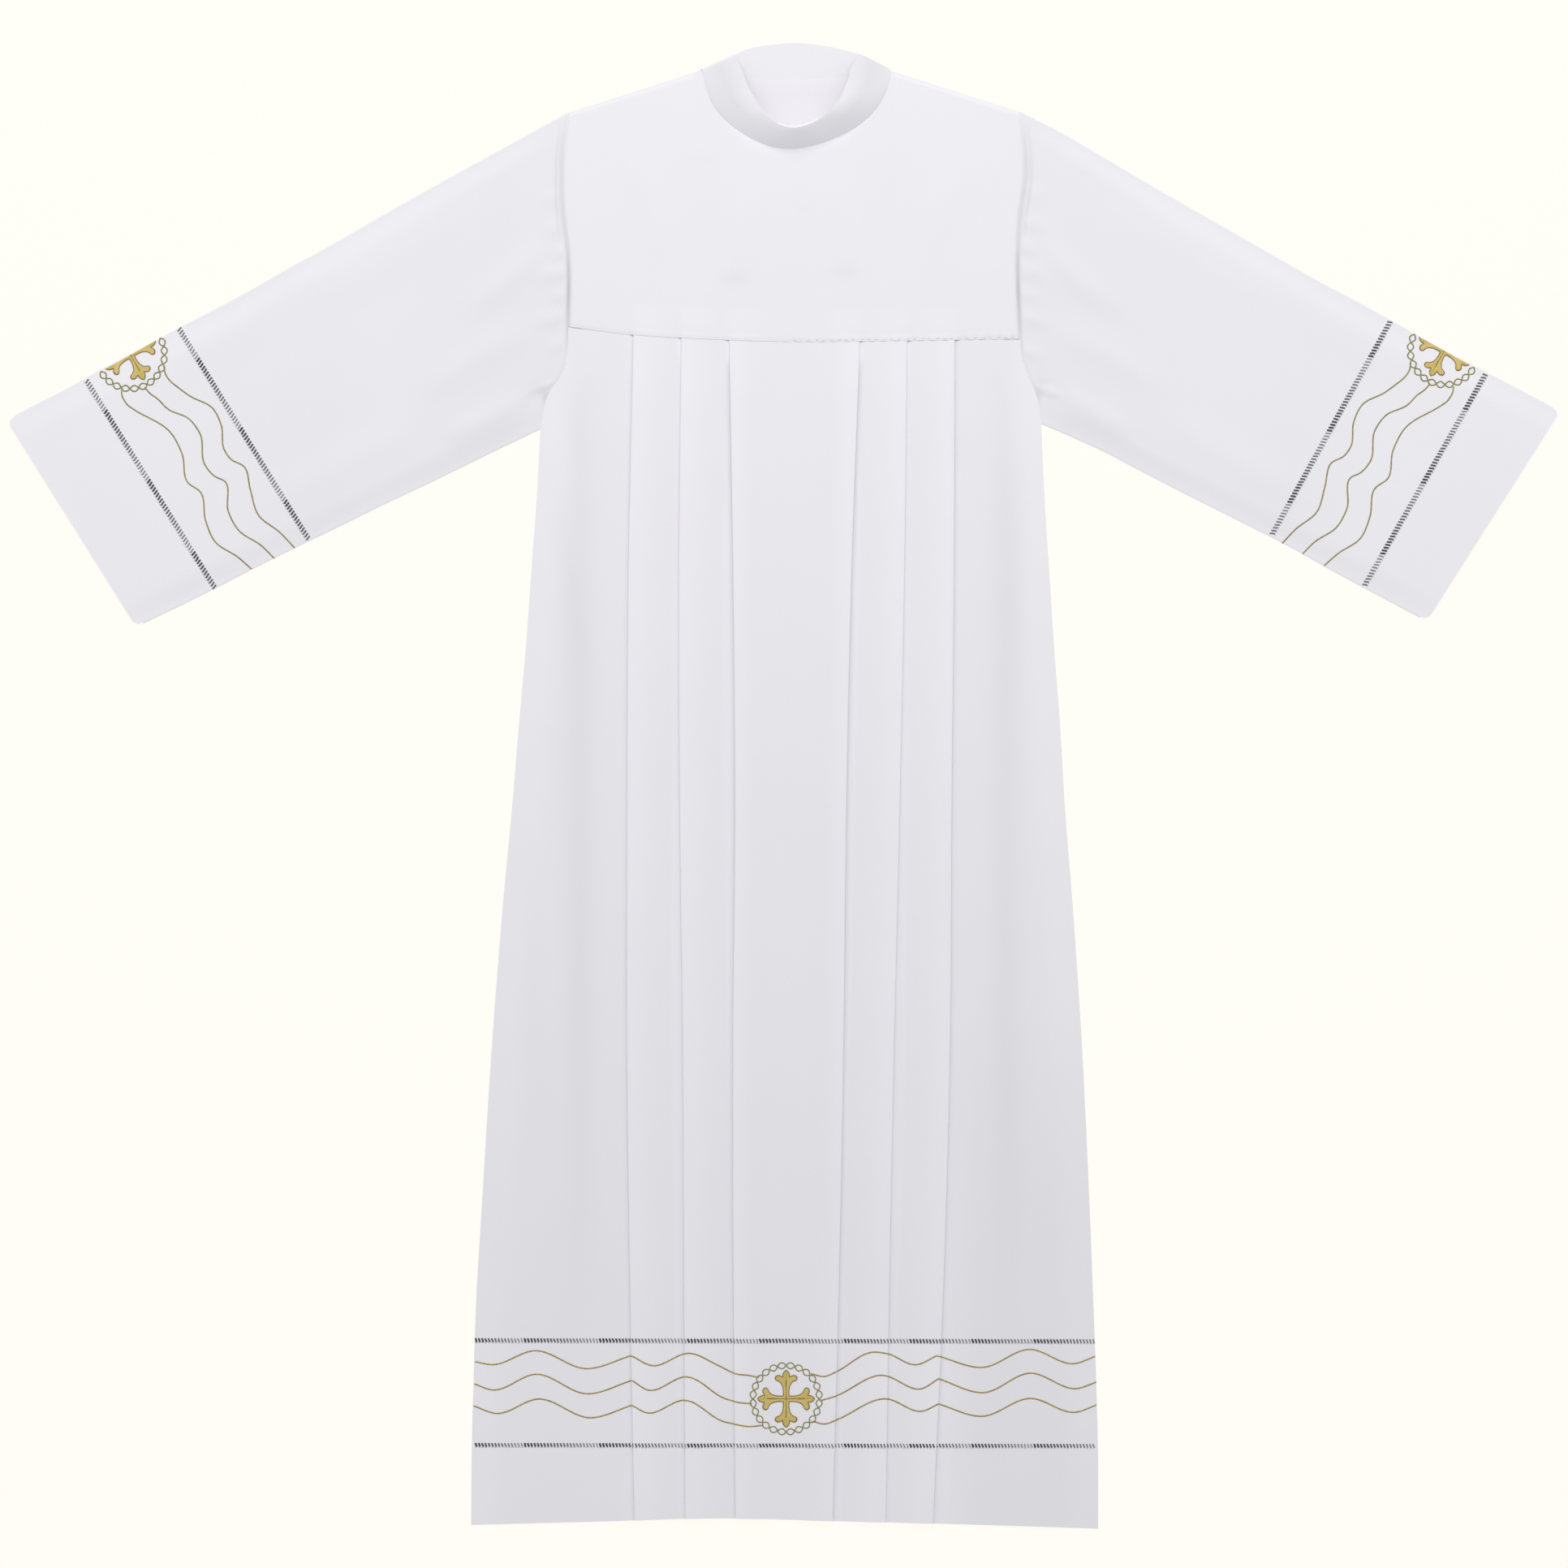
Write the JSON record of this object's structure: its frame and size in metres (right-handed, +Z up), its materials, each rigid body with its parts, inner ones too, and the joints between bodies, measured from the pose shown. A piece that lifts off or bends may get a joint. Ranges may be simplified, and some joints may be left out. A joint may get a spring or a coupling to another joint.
{
  "type": "alb robe",
  "caption": "Long white church alb laid flat: yoked front with knife pleats, wide straight sleeves, standing collar band, embroidered bands round hem and cuffs.",
  "frame": {"origin": "centre of the laid robe's outline, on the surface that it lies on", "axes": "+X across the robe from the wearer's right cuff to the left cuff, +Y from the hem to the collar, +Z up from the surface through the front"},
  "size_m": [1.5642, 1.5, 0.0369],
  "materials": {
    "back_cloth": "matte white cotton and polyester cloth, close plain weave",
    "front_yoke_cloth": "matte white cotton and polyester cloth, close plain weave",
    "front_skirt_cloth": "matte white cotton and polyester cloth, close plain weave",
    "sleeve_left_cloth": "matte white cotton and polyester cloth, close plain weave",
    "sleeve_right_cloth": "matte white cotton and polyester cloth, close plain weave",
    "collar_cloth": "matte white cotton and polyester cloth, close plain weave"
  },
  "bodies": {
    "root": {"back": "back_cloth", "front_yoke": "front_yoke_cloth", "front_skirt": "front_skirt_cloth", "sleeve_left": "sleeve_left_cloth", "sleeve_right": "sleeve_right_cloth", "collar": "collar_cloth"}
  },
  "joints": []
}
